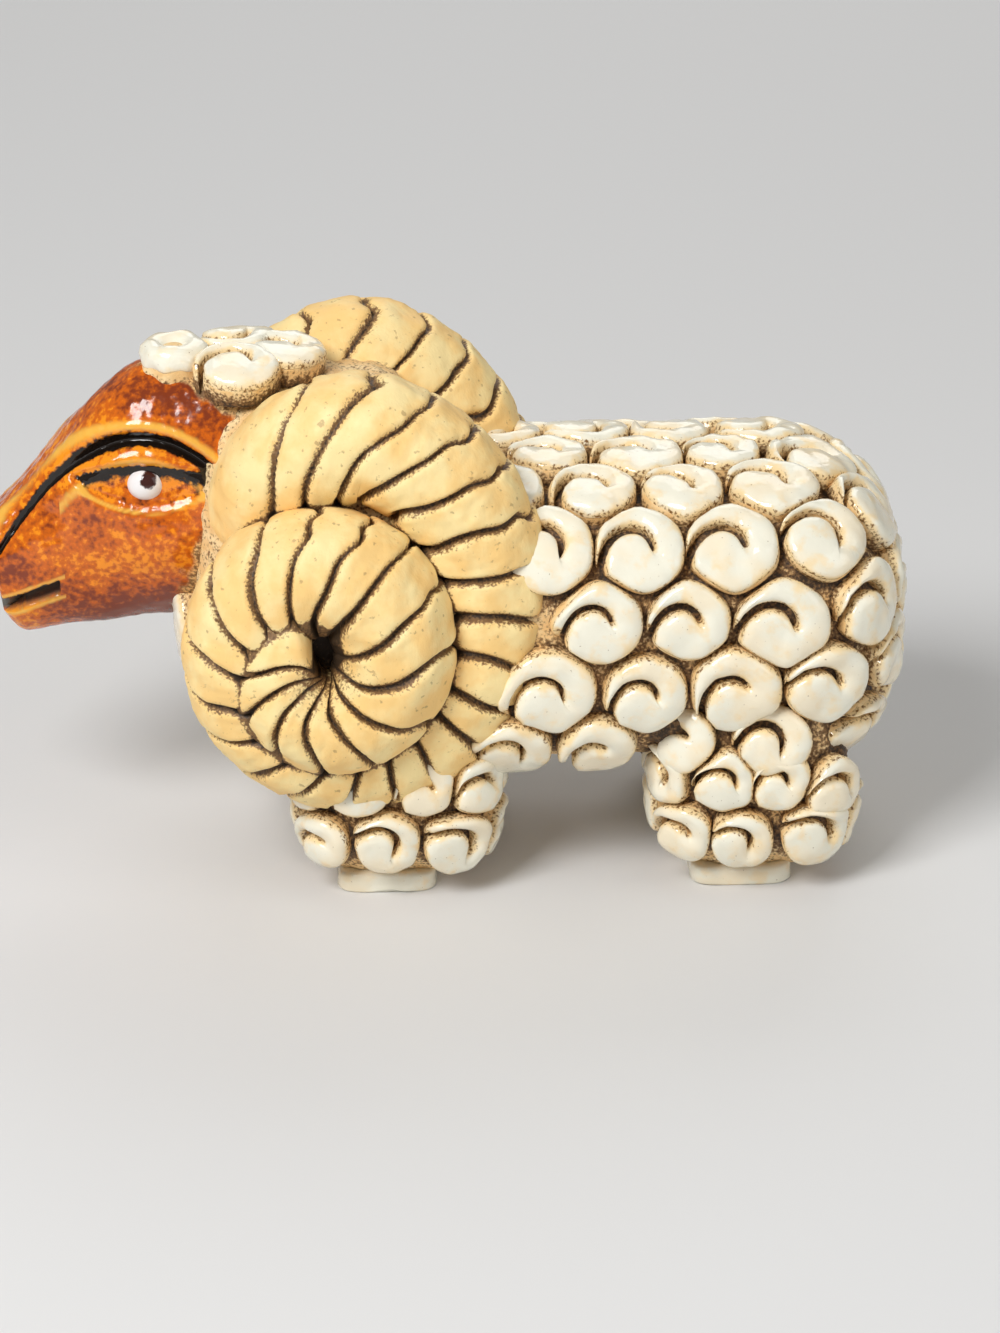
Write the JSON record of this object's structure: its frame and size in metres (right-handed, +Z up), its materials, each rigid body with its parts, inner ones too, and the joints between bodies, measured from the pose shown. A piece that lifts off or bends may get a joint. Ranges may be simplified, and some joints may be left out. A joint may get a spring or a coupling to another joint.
{
  "type": "ram figurine",
  "caption": "Standing ceramic ram with ribbed coiled horns, a fleece of raised spiral curls, a carved glazed head and short legs on flat foot plates.",
  "frame": {"origin": "on the ground under the middle of the figure's bounding box", "axes": "+Z up, the head looks along -X, and Y = 0 lies midway between the two horns"},
  "size_m": [0.1124, 0.056, 0.0649],
  "materials": {
    "fired_clay": "matte fired clay with a dark wash in the carving",
    "cream_enamel": "thick glossy cream enamel on the tops of the curls and on the feet",
    "brown_glaze": "glossy amber to red-brown glaze on the head",
    "horn_clay": "matte yellow-tan clay, dark in the rib lines"
  },
  "bodies": {
    "root": {"ram": "fired_clay"}
  },
  "joints": []
}
